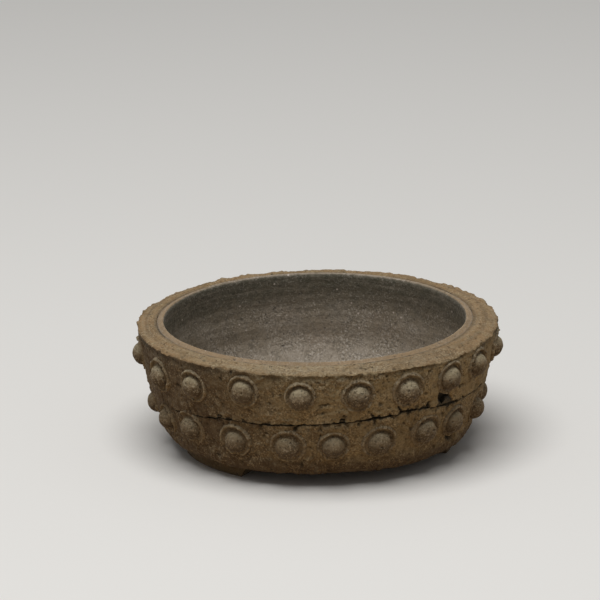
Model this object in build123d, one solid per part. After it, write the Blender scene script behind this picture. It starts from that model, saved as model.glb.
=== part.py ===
from build123d import *
import os
from math import atan2, cos, degrees, hypot, pi, radians, sin

# A small round stoneware bowl for flowers, studded like a drum. Sizes are in millimetres.
# The origin is on the table under the middle of the bowl, +Z is up and -Y is the front.
# Angles round the wall are in degrees from the front, positive to the viewer's right.

# Thrown inner bowl, from the lip inwards and down
mouth_radius = 37.5  # inside of the upright wall
bowl_depth = 26.2  # from the lip down to the floor
bowl_wall = 1.9  # thickness of the upright wall
lip_bevel = 0.5  # inner edge of the lip, worn round
lip_fall = 0.5  # how much lower the lip is outside than inside
heel_rise = 11.0  # height above the floor where the inside turns in
heel_reach = 13.5  # how far in its curve runs before the floor is flat
heel_flats = 10  # level flats that make up that curve
shoulder_rise = 9.0  # height above the floor where the outside turns in
base_tuck = 6.4  # how far in the outside runs from there to the underside
base_thickness = 3.5

# Two slab bands wrapped round the bowl and luted on with slip
slip_film = 0.15  # gap left for the slip behind each luted piece
rim_width = 5.6  # top edge of the upper band
rim_fall = 0.4  # how much lower the rim is at its outer edge than at the lip
rim_bevel = 0.5  # outer edge of the rim, worn round
upper_lean = 2.8  # how far the upper band draws in from the rim to the seam
seam_step = 0.4  # how far the upper band stands proud of the lower one
lower_lean = 3.5  # how far the lower band draws in from the seam to its turn
turn_rise = 2.8  # height above the underside where it turns under
turn_reach = 3.3  # how far in it runs under the bowl
turn_flats = 2  # level flats that make up the turn

# Seam between the bands, which were wrapped a little askew
seam_rise = 14.2  # above the underside
seam_gap = 0.3
askew_right = 1.5  # how much higher the seam is on the right than in the middle
askew_front = 0.7  # how much higher the seam is at the front

# Torn place in the upper band, over the seam
tear_angle = 46.8
tear_rise = 1.3  # its middle above the seam
tear_width = 3.2
tear_height = 4.2
tear_depth = 1.6
tear_lean = 20.0
tear_sides = 6

# Pressed-on studs, each a dome in a ringed skirt of squeezed-out clay, with flat sides
stud_sides = 10
stud_film = 0.05  # slip behind the middle of a stud's flat back
skirt_radius = 4.0
ring_radius = 3.6  # crest of the ring round the dome
ring_height = 0.6
dome_radius = 2.8
dome_rise = 0.25  # foot of the dome, at the bottom of the moat inside the ring
dome_height = 2.6  # where its curve would close, a little over its flat crown
dome_flats = 4  # from the foot of the dome to its crown
studs_behind = 9  # in each row, spaced evenly between the outermost front ones

# Places of the studs in front, set by eye: the angle, and the drop from the rim's outer edge
upper_front_studs = (
    (-86.0, 7.4),
    (-61.7, 7.6),
    (-43.8, 7.0),
    (-24.6, 6.0),
    (-5.8, 6.4),
    (13.0, 6.6),
    (30.1, 6.6),
    (46.9, 6.0),
    (61.9, 5.5),
    (83.0, 5.6),
)
# The same in the lower row, with the drop from the seam's middle height
lower_front_studs = (
    (-88.0, 5.8),
    (-66.2, 5.4),
    (-50.0, 4.7),
    (-30.1, 5.2),
    (-10.6, 5.6),
    (5.2, 5.5),
    (21.5, 5.3),
    (40.0, 4.5),
    (54.4, 4.5),
    (73.0, 5.0),
    (95.6, 5.6),
)

# Cut foot ring, of which three lengths are left
foot_height = 3.0
foot_setback = 0.3  # behind the bottom edge of the lower band
foot_width = 8.0  # across its top
foot_taper = 0.9  # drawn in on each side towards the table
foot_span = 46.0
foot_end_rake = 35.0
foot_angles = {"front_left_foot": -54.0, "right_foot": 90.0, "back_foot": 198.0}

# Heights above the table and radii that follow from the sizes above
underside = foot_height
floor_height = underside + base_thickness
lip_height = floor_height + bowl_depth
rim_height = lip_height - lip_fall
edge_height = rim_height - rim_fall
seam_height = underside + seam_rise
turn_height = underside + turn_rise
joint_radius = mouth_radius + bowl_wall
rim_radius = joint_radius + slip_film + rim_width
seam_radius = rim_radius - upper_lean
lower_seam_radius = seam_radius - seam_step
turn_radius = lower_seam_radius - lower_lean
bottom_edge_radius = turn_radius - turn_reach


def quarter_curve(corner, reach, drop, flats):
    """Places down a quarter of an ellipse, from upright at its top to level at its bottom.

    The curve starts at corner, a radius and a height, and ends reach further in and drop lower.
    """
    steps = [pi / 2 * step / flats for step in range(flats + 1)]
    return [(corner[0] - reach * (1 - cos(step)), corner[1] - drop * sin(step)) for step in steps]


def revolved(*places):
    """Solid turned about the bowl's axis from the corners of its half section."""
    return revolve(Plane.XZ * make_face(Polyline(*places, close=True)), Axis.Z)


def bowl_outside(grown):
    """Places down the outside of the thrown bowl, moved outwards by grown."""
    return [
        (joint_radius + grown, rim_height),
        (joint_radius + grown, floor_height + shoulder_rise),
        (joint_radius - base_tuck + grown, underside),
    ]


def thrown_bowl():
    """The wheel-thrown bowl inside the cladding."""
    heel = quarter_curve((mouth_radius, floor_height + heel_rise), heel_reach, heel_rise, heel_flats)
    lip = [(mouth_radius, lip_height - lip_bevel), (mouth_radius + lip_bevel, lip_height)]
    return revolved((0, underside), (0, floor_height), *reversed(heel), *lip, *bowl_outside(0))


def bowl_envelope():
    """The room that the bowl and its film of slip take up inside the cladding."""
    return revolved((0, underside), (0, rim_height), *bowl_outside(slip_film))


# Faces of the two bands, each straight from a place at its top to one at its bottom
upper_face = ((rim_radius, edge_height), (seam_radius, seam_height))
lower_face = ((lower_seam_radius, seam_height), (turn_radius, turn_height))


def radius_at(face, height):
    """Radius of a band's face at one height, also past the face's ends."""
    top, bottom = face
    return bottom[0] + (top[0] - bottom[0]) * (height - bottom[1]) / (top[1] - bottom[1])


def upper_drum():
    """The upper band as if it were solid and ran past the seam."""
    low = seam_height - askew_right - askew_front
    bevel_foot = edge_height - rim_bevel
    return revolved(
        (0, low),
        (0, rim_height),
        (joint_radius + slip_film, rim_height),
        (rim_radius - rim_bevel, edge_height),
        (radius_at(upper_face, bevel_foot), bevel_foot),
        (radius_at(upper_face, low), low),
    )


def lower_drum():
    """The lower band as if it were solid and ran past the seam."""
    high = seam_height + askew_right + askew_front
    turn = quarter_curve(lower_face[1], turn_reach, turn_rise, turn_flats)
    return revolved((0, underside), (0, high), (radius_at(lower_face, high), high), *turn)


def seam_plane(lift):
    """Plane of the seam, which rises to the right and to the front, moved up by lift."""
    slope = (-askew_right / seam_radius, askew_front / seam_radius, 1)
    return Plane(origin=(0, 0, seam_height + lift), z_dir=slope)


def wall_plane(face, angle, height):
    """Plane that lies on a band's face at one angle and height, with its normal outwards."""
    top, bottom = face
    slant = hypot(top[0] - bottom[0], top[1] - bottom[1])
    outwards = (top[1] - bottom[1]) / slant
    upwards = (bottom[0] - top[0]) / slant
    right = sin(radians(angle))
    back = -cos(radians(angle))
    radius = radius_at(face, height)
    return Plane(
        origin=(radius * right, radius * back, height),
        x_dir=(-back, right, 0),
        z_dir=(outwards * right, outwards * back, upwards),
    )


def seam_at(angle):
    """Height of the seam at one angle."""
    return seam_height + askew_right * sin(radians(angle)) + askew_front * cos(radians(angle))


def tear():
    """What the torn place takes out of the upper band."""
    face = wall_plane(upper_face, tear_angle, seam_at(tear_angle) + tear_rise)
    turns = [2 * pi * side / tear_sides for side in range(tear_sides)]
    corners = [(tear_width / 2 * cos(turn), tear_height / 2 * sin(turn)) for turn in turns]
    mouth = make_face(Polyline(*corners, close=True))
    return extrude(face * Rot(0, 0, tear_lean) * mouth, tear_depth, both=True)


def upper_band():
    """The upper slab band, round the bowl's lip, torn in one place over the seam."""
    band = split(upper_drum() - bowl_envelope(), seam_plane(seam_gap / 2), keep=Keep.TOP)
    return band - tear()


def lower_band():
    """The lower slab band, turned under at its bottom edge."""
    return split(lower_drum() - bowl_envelope(), seam_plane(-seam_gap / 2), keep=Keep.BOTTOM)


def frustum(foot_radius, top_radius, height):
    """Flat-sided frustum standing on the XY plane, sized across its flats."""
    outline = RegularPolygon(foot_radius, stud_sides, major_radius=False)
    return extrude(outline, height, taper=degrees(atan2(foot_radius - top_radius, height)))


def stud():
    """A stud on the XY plane: its skirt, the moat inside the ring and the dome in the moat."""
    shape = Pos(0, 0, stud_film) * frustum(skirt_radius, ring_radius, ring_height - stud_film)
    moat = frustum(ring_radius, dome_radius, ring_height - dome_rise)
    shape -= Pos(0, 0, ring_height) * Rot(180, 0, 0) * moat
    dome = quarter_curve((dome_radius, dome_rise), dome_radius, dome_rise - dome_height, dome_flats)
    for (foot_radius, low), (top_radius, high) in zip(dome[:-2], dome[1:-1]):
        shape += Pos(0, 0, low) * frustum(foot_radius, top_radius, high - low)
    return shape


def row_of_studs(front_studs):
    """Angles and drops of all the studs in a row: the front ones, then the ones behind."""
    (first_angle, first_drop), (last_angle, last_drop) = front_studs[0], front_studs[-1]
    turn = (360 + first_angle - last_angle) / (studs_behind + 1)
    fall = (first_drop - last_drop) / (studs_behind + 1)
    counts = range(1, studs_behind + 1)
    return [*front_studs, *((last_angle + turn * count, last_drop + fall * count) for count in counts)]


def foot(angle):
    """One length of the foot ring, with raked ends."""
    outer = bottom_edge_radius - foot_setback
    inner = outer - foot_width
    length = revolved(
        (outer, underside),
        (outer - foot_taper, 0),
        (inner + foot_taper, 0),
        (inner, underside),
    )
    for side in (-1, 1):
        end = radians(angle + side * foot_span / 2)
        along = side * cos(radians(foot_end_rake))
        facing = (along * cos(end), along * sin(end), -sin(radians(foot_end_rake)))
        length = split(length, Plane(origin=(0, 0, underside), z_dir=facing), keep=Keep.BOTTOM)
    return length


parts = {
    "inner_bowl": thrown_bowl(),
    "upper_band": upper_band(),
    "lower_band": lower_band(),
}
for name, angle in foot_angles.items():
    parts[name] = foot(angle)

pressed_stud = stud()
for row, face, front_studs, top in (
    ("upper", upper_face, upper_front_studs, edge_height),
    ("lower", lower_face, lower_front_studs, seam_height),
):
    for count, (angle, drop) in enumerate(row_of_studs(front_studs), start=1):
        seat = wall_plane(face, angle, top - drop)
        parts[f"{row}_stud_{count:02d}"] = seat.location * pressed_stud

os.makedirs("parts", exist_ok=True)
for name, shape in parts.items():
    export_step(shape, f"parts/{name}.step")
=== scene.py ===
"""Looks of a small round stoneware flower bowl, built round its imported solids.

The bowl is a thrown bowl clad in two slab bands, with two rows of pressed-on studs and three
lengths of a cut foot ring. Shapes are worked out in millimetres and handed over in metres.
Angles go round the wall from the front, -Y, and are positive to the viewer's right.
"""

import logging
from dataclasses import dataclass, field
from enum import Enum
from functools import cached_property
from itertools import product
from math import atan2, cos, hypot, pi, radians, sin, tan, tau
from typing import Self

import bmesh
import bpy
import numpy as np
from mathutils import Matrix, Vector


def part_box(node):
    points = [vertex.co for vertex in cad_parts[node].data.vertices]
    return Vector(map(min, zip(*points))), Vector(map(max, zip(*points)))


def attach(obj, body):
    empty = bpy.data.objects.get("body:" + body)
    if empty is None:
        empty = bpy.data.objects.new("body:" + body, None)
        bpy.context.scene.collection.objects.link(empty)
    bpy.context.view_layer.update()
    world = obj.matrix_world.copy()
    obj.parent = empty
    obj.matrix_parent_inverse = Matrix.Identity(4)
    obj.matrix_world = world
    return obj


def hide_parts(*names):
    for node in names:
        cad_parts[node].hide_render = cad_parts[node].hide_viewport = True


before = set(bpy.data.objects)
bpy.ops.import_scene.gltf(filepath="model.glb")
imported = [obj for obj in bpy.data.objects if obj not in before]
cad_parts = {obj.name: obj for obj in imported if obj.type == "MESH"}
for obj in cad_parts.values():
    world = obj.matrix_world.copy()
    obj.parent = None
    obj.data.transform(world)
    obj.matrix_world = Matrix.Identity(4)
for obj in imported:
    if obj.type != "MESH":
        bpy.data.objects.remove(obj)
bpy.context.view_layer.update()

MM = 0.001

# Sizes that pieces share, in millimetres
SEAM_HEIGHT = 17.2
LIP_FALL = 0.5
SHOULDER_HEIGHT = 15.5
BASE_RADIUS = 33.0

Array = np.ndarray
Colour = tuple[float, float, float]
Place = tuple[float, float]
Span = tuple[float, float]
Socket = bpy.types.NodeSocket
Feeds = dict[str | int, object]

log = logging.getLogger("bowl")


class Slot(Enum):
    """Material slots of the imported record."""

    BOWL = "bowl_clay"
    BAND = "band_clay"
    STUD = "stud_clay"
    FOOT = "foot_clay"


class Row(Enum):
    """The two rows of studs, named as their nodes are."""

    UPPER = "upper"
    LOWER = "lower"


class Mark(Enum):
    """What is painted on the points of a piece for its finish to read."""

    # Painted shade in the hollows: nicks, pits, grooves, the seam, under the rim and on faces turned down
    HOLLOW_SHADE = "hollow"
    # Wear, and painted highlight on lit tops, crests and the lower inside
    WORN_AND_LIT = "worn"
    PALE = "pale"
    # Painted shade under and inside things, and darker patches of the clay
    SHADE_AND_DARKENING = "soot"
    WHEEL = "wheel"


class Share(Enum):
    """What a stretch of a half section has a share of."""

    ROUGH = "rough"
    WALL = "wall"
    RIM = "rim"
    SHOWN = "shown"
    DOME = "dome"


class Seed(Enum):
    """Where the random draws of each kind of work start."""

    BOWL = 3
    UPPER_BAND = 11
    LOWER_BAND = 17
    STUD = 23
    PRESS = 29
    FOOT = 31
    BITES = 41


def ease(value: Array, low: float, high: float) -> Array:
    """Smooth step from 0 at low to 1 at high.

    Args:
        value: Numbers to step.
        low: Where the step starts. It may be above high, for a step down.
        high: Where the step ends.

    Returns:
        Numbers from 0 to 1.
    """
    share = np.clip((value - low) / (high - low), 0.0, 1.0)
    return share * share * (3.0 - 2.0 * share)


def swell(value: Array, middle: float, width: float) -> Array:
    """Smooth hump that is 1 at its middle and fades out over a width to either side."""
    return np.exp(-(((value - middle) / width) ** 2))


def arc(middle: Place, radius: Place, start: float, end: float, count: int) -> Array:
    """Places along an arc of an ellipse.

    Args:
        middle: Radius and height of its middle.
        radius: Its half sizes along the radius and the height.
        start: Angle of the first place in degrees, from outwards and turning up.
        end: Angle of the last place.
        count: How many places.

    Returns:
        One radius and height in each row.
    """
    turn = np.radians(np.linspace(start, end, count))
    return np.stack([middle[0] + radius[0] * np.cos(turn), middle[1] + radius[1] * np.sin(turn)], axis=1)


def fillet(middle: Place, radius: float, start: float, end: float, count: int) -> Array:
    """Places along an arc of a circle, in the way of arc."""
    return arc(middle, (radius, radius), start, end, count)


def run(start: Place, end: Place, count: int) -> Array:
    """Places along a straight run, without its first and last."""
    return np.linspace(start, end, count + 2)[1:-1]


def round_the_axis(count: int) -> Array:
    """Evenly spaced angles once round the bowl, in radians from the front."""
    return np.linspace(-pi, pi, count, endpoint=False)


def ring(angles: Array, radius: float) -> Array:
    """Places on a level circle about the bowl's axis."""
    return np.stack([radius * np.sin(angles), -radius * np.cos(angles), np.zeros_like(angles)], axis=-1)


def turned(radius: Array, height: Array, angles: Array) -> Array:
    """Places from a half section that is turned about the bowl's axis.

    Args:
        radius: Radius of each row, in a column or for each angle.
        height: Height of each row, in the same way.
        angles: Angles in radians from the front, for all the rows or for each.

    Returns:
        Places, by row and angle.
    """
    return np.stack(np.broadcast_arrays(radius * np.sin(angles), -radius * np.cos(angles), height), axis=-1)


def drawn_out(angles: Array, radius: float, along: Array) -> Array:
    """Places where noise reads as lines that a wheel has drawn out round the axis.

    Args:
        angles: Angles in radians from the front.
        radius: Radius of the round that the noise is read on. A small one gives long lines.
        along: How far each row is along the half section, in a column.

    Returns:
        Places, by row and angle.
    """
    return ring(angles, radius) + along[..., None] * np.array([0.0, 0.0, 1.0])


@dataclass(frozen=True)
class Lumps:
    """Noise of several sizes, each with its own height."""

    sizes: tuple[float, ...]
    heights: tuple[float, ...]
    shift: float = 0.0


@dataclass(frozen=True)
class Spots:
    """Spots that start where the noise of one size is low, and are full where it is high."""

    size: float
    low: float
    high: float
    height: float = 1.0
    shift: float = 0.0


class Grain:
    """Seeded smooth noise in space, which makes hand-worked clay uneven."""

    LATTICE = 256
    # Brings the noise to about -1 to 1
    GAIN = 1.6

    def __init__(self, seed: Seed) -> None:
        """Draws the lattice that the noise is read from.

        Args:
            seed: Where its random draws start.
        """
        draw = np.random.default_rng(seed.value)
        self._order = draw.permutation(self.LATTICE)
        leans = draw.normal(size=(self.LATTICE, 3))
        self._leans = leans / np.linalg.norm(leans, axis=1, keepdims=True)

    def at(self, places: Array, size: float) -> Array:
        """Noise at places.

        Args:
            places: Places in space, in millimetres.
            size: How wide its lumps are.

        Returns:
            Numbers from about -1 to 1.
        """
        cells = places / size
        corner = np.floor(cells).astype(int)
        part = cells - corner
        smooth = part**3 * (part * (part * 6 - 15) + 10)
        total = np.zeros(places.shape[:-1])
        for step in product((0, 1), repeat=3):
            x, y, z = np.moveaxis((corner + step) % self.LATTICE, -1, 0)
            pick = self._order[(self._order[(self._order[x] + y) % self.LATTICE] + z) % self.LATTICE]
            weight = np.prod(np.where(step, smooth, 1 - smooth), axis=-1)
            total += weight * np.sum(self._leans[pick] * (part - step), axis=-1)
        return self.GAIN * total

    def lumps(self, places: Array, lumps: Lumps) -> Array:
        """Height of lumps at places."""
        moved = places + lumps.shift
        return sum(height * self.at(moved, size) for size, height in zip(lumps.sizes, lumps.heights))

    def spots(self, places: Array, spots: Spots) -> Array:
        """Height of spots at places."""
        return spots.height * ease(self.at(places + spots.shift, spots.size), spots.low, spots.high)


@dataclass
class Section:
    """Half section of a turned piece, put together stretch by stretch."""

    stretches: list[tuple[Array, dict[Share, float]]] = field(default_factory=list)

    def add(self, places: Array, shares: dict[Share, float] | None = None) -> None:
        """Adds a stretch of places, each a radius and a height, with its shares."""
        self.stretches.append((places, shares or {}))

    def columns(self) -> tuple[Array, Array]:
        """Radius and height of all the places, each in a column."""
        places = np.concatenate([places for places, _ in self.stretches])
        return places[:, 0:1], places[:, 1:2]

    def share(self, kind: Share) -> Array:
        """One kind of share of all the places, in a column."""
        parts = [np.full((len(places), 1), shares.get(kind, 0.0)) for places, shares in self.stretches]
        return np.concatenate(parts)


def linked(name: str, data: bpy.types.ID) -> bpy.types.Object:
    """Makes an object of some data and links it to the scene.

    Args:
        name: Name of the object.
        data: Its mesh, lamp or camera.

    Returns:
        The new object.
    """
    made = bpy.data.objects.new(name, data)
    bpy.context.scene.collection.objects.link(made)
    return made


@dataclass
class ClaySkin:
    """Surface of one closed piece of clay, as a grid of places.

    The rows run with the outside of the clay on their left, seen with the angles going away.
    """

    places: Array
    closed_rows: bool
    closed_around: bool = True
    marks: dict[Mark, Array] = field(default_factory=dict)

    # Least length that a vector is divided by
    SHORTEST = 1e-9

    def outward(self) -> Array:
        """Unit vectors out of the clay at each place.

        Returns:
            Vectors, by row and angle.
        """
        down = np.gradient(self.places, axis=0)
        if self.closed_rows:
            down = np.roll(self.places, -1, axis=0) - np.roll(self.places, 1, axis=0)
        along = np.gradient(self.places, axis=1)
        if self.closed_around:
            along = np.roll(self.places, -1, axis=1) - np.roll(self.places, 1, axis=1)
        out = np.cross(down, along)
        return out / np.maximum(np.linalg.norm(out, axis=-1, keepdims=True), self.SHORTEST)

    def push(self, height: Array) -> None:
        """Moves each place out of the clay by a height."""
        self.places = self.places + self.outward() * height[..., None]

    def mark(self, kind: Mark, share: Array) -> None:
        """Paints one kind of mark, as shares from 0 to 1."""
        self.marks[kind] = np.broadcast_to(np.clip(share, 0.0, 1.0), self.places.shape[:2])

    def ends(self, grid: Array) -> list[Array]:
        """The open rings of a grid, each of which a fan closes.

        Args:
            grid: A value for each place.

        Returns:
            Two rings, or none where the grid is closed both ways.
        """
        if not self.closed_rows:
            return [grid[0], grid[-1]]
        if not self.closed_around:
            return [grid[:, 0], grid[:, -1]]
        return []

    def shell(self) -> tuple[list[list[float]], list[list[int]]]:
        """Points and faces of the closed surface, with a fan over each open end.

        Returns:
            The points, and the numbers of the points round each face.
        """
        rows, around = self.places.shape[:2]
        number = np.arange(rows * around).reshape(rows, around)
        grid = np.vstack([number, number[:1]]) if self.closed_rows else number
        grid = np.hstack([grid, grid[:, :1]]) if self.closed_around else grid
        corners = [grid[:-1, :-1], grid[1:, :-1], grid[1:, 1:], grid[:-1, 1:]]
        faces = np.stack(corners, axis=-1).reshape(-1, 4).tolist()
        points = self.places.reshape(-1, 3).tolist()
        for end in self.ends(number):
            middle = len(points)
            points.append(np.mean([points[corner] for corner in end], axis=0).tolist())
            faces += [[middle, int(a), int(b)] for a, b in zip(end, np.roll(end, -1))]
        return points, faces

    def piece(self, name: str) -> bpy.types.Object:
        """Makes the closed mesh.

        Args:
            name: Name of the new piece.

        Returns:
            The piece, linked to the scene, with its marks as point attributes.
        """
        points, faces = self.shell()
        mesh = bpy.data.meshes.new(name)
        mesh.from_pydata((np.array(points) * MM).tolist(), [], faces)
        for kind in Mark:
            share = self.marks.get(kind, np.zeros(self.places.shape[:2]))
            closing = [float(np.mean(end)) for end in self.ends(share)]
            values = np.concatenate([share.reshape(-1), closing]).astype(np.float32)
            mesh.attributes.new(kind.value, "FLOAT", "POINT").data.foreach_set("value", values)
        shell = bmesh.new()
        shell.from_mesh(mesh)
        bmesh.ops.recalc_face_normals(shell, faces=shell.faces)
        shell.to_mesh(mesh)
        shell.free()
        mesh.shade_smooth()
        return linked(name, mesh)


@dataclass(frozen=True)
class Noise:
    """Noise in a finish: the width of its lumps in millimetres, and the step that makes patches of it."""

    size: float
    detail: float = 4.0
    rough: float = 0.6
    step: Span = (0.0, 1.0)
    reach: Span = (0.0, 1.0)


@dataclass(frozen=True)
class Dots:
    """Scattered dots in a finish.

    apart is how far apart they could be in millimetres, wide is half their width as a share of
    that, and few is the share of them that is left out.
    """

    apart: float
    wide: float
    few: float

    # Share of a dot's half width that shows in full
    CORE = 0.4

    def chance(self) -> Span:
        """Step from the dots that are left out to those that show in full."""
        return self.few, (1 + self.few) / 2


def rgba(colour: Colour) -> tuple[float, ...]:
    """A colour as a colour socket takes it."""
    return (*colour, 1.0)


class NodeSheet:
    """Node tree of a material or a world, with short calls for what repeats in them."""

    # Numbers of a mix node's colour sockets
    UNDER = 6
    OVER = 7
    BOTH = 2

    def __init__(self, owner: bpy.types.Material | bpy.types.World) -> None:
        """Starts an empty tree.

        Args:
            owner: The material or the world that the tree belongs to.
        """
        owner.use_nodes = True
        self.tree = owner.node_tree
        self.tree.nodes.clear()

    @cached_property
    def places(self) -> Socket:
        """Places on the bowl, in metres."""
        return self.add("ShaderNodeTexCoord").outputs["Object"]

    def add(self, kind: str, feeds: Feeds | None = None, **settings: object) -> bpy.types.Node:
        """Adds a node.

        Args:
            kind: Blender's name of the node type.
            feeds: What goes into its inputs: other nodes' outputs, or plain values.
            settings: Properties to set on it.

        Returns:
            The new node.
        """
        node = self.tree.nodes.new(kind)
        for name, value in settings.items():
            setattr(node, name, value)
        for name, value in (feeds or {}).items():
            if isinstance(value, Socket):
                self.tree.links.new(value, node.inputs[name])
            else:
                node.inputs[name].default_value = value
        return node

    def math(self, operation: str, first: Socket, second: Socket | float) -> Socket:
        """Result of one operation on two values."""
        return self.add("ShaderNodeMath", {0: first, 1: second}, operation=operation).outputs[0]

    def plus(self, first: Socket, second: Socket) -> Socket:
        """Sum of two values."""
        return self.math("ADD", first, second)

    def times(self, first: Socket, *others: Socket | float) -> Socket:
        """Product of values."""
        for other in others:
            first = self.math("MULTIPLY", first, other)
        return first

    def noise(self, noise: Noise, places: Socket | None = None) -> Socket:
        """Plain noise, from 0 to 1, on the bowl's own places or on others."""
        feeds = {"Scale": 1 / (noise.size * MM), "Detail": noise.detail, "Roughness": noise.rough}
        return self.add("ShaderNodeTexNoise", {"Vector": places or self.places, **feeds}).outputs["Fac"]

    def spread(self, value: Socket, step: Span, reach: Span = (0.0, 1.0)) -> Socket:
        """Smooth step of a value.

        Args:
            value: The value.
            step: Where the step starts and where it ends.
            reach: What the step goes from and what it goes to.

        Returns:
            The value after the step.
        """
        names = ("From Min", "From Max", "To Min", "To Max")
        feeds = {"Value": value, **dict(zip(names, (*step, *reach)))}
        return self.add("ShaderNodeMapRange", feeds, interpolation_type="SMOOTHSTEP").outputs["Result"]

    def patches(self, noise: Noise) -> Socket:
        """Noise after its own step."""
        return self.spread(self.noise(noise), noise.step, noise.reach)

    def dots(self, dots: Dots) -> Socket:
        """How much of a dot there is, from 0 to 1.

        Args:
            dots: Which dots.

        Returns:
            The share at each place.
        """
        cells = self.add("ShaderNodeTexVoronoi", {"Vector": self.places, "Scale": 1 / (dots.apart * MM)})
        near = self.spread(cells.outputs["Distance"], (dots.wide, dots.wide * dots.CORE))
        pick = self.add("ShaderNodeSeparateColor", {0: cells.outputs["Color"]}).outputs[0]
        return self.times(near, self.spread(pick, dots.chance()))

    def mark(self, kind: Mark) -> Socket:
        """Share of a mark that is painted on the points of the piece."""
        return self.add("ShaderNodeAttribute", attribute_name=kind.value).outputs["Fac"]

    def coat(self, under: Socket | Colour, over: Colour, *shares: Socket | float) -> Socket:
        """Lays a colour over another.

        Args:
            under: The colour below.
            over: The colour that is laid on it.
            shares: How much of it shows, as the product of these.

        Returns:
            The colour of both.
        """
        below = under if isinstance(under, Socket) else rgba(under)
        feeds = {0: self.times(*shares), self.UNDER: below, self.OVER: rgba(over)}
        return self.add("ShaderNodeMix", feeds, data_type="RGBA").outputs[self.BOTH]

    def seen(self) -> Socket:
        """Share that is 1 for what the camera sees, straight or in a reflection.

        Returns:
            The share.
        """
        path = self.add("ShaderNodeLightPath").outputs
        either = self.math("MAXIMUM", path["Is Camera Ray"], path["Is Glossy Ray"])
        return self.math("MAXIMUM", either, path["Is Transmission Ray"])

    def mix(self, share: Socket, first: Socket, second: Socket) -> Socket:
        """Shader that goes from the first to the second with a share."""
        return self.add("ShaderNodeMixShader", {0: share, 1: first, 2: second}).outputs[0]


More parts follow.
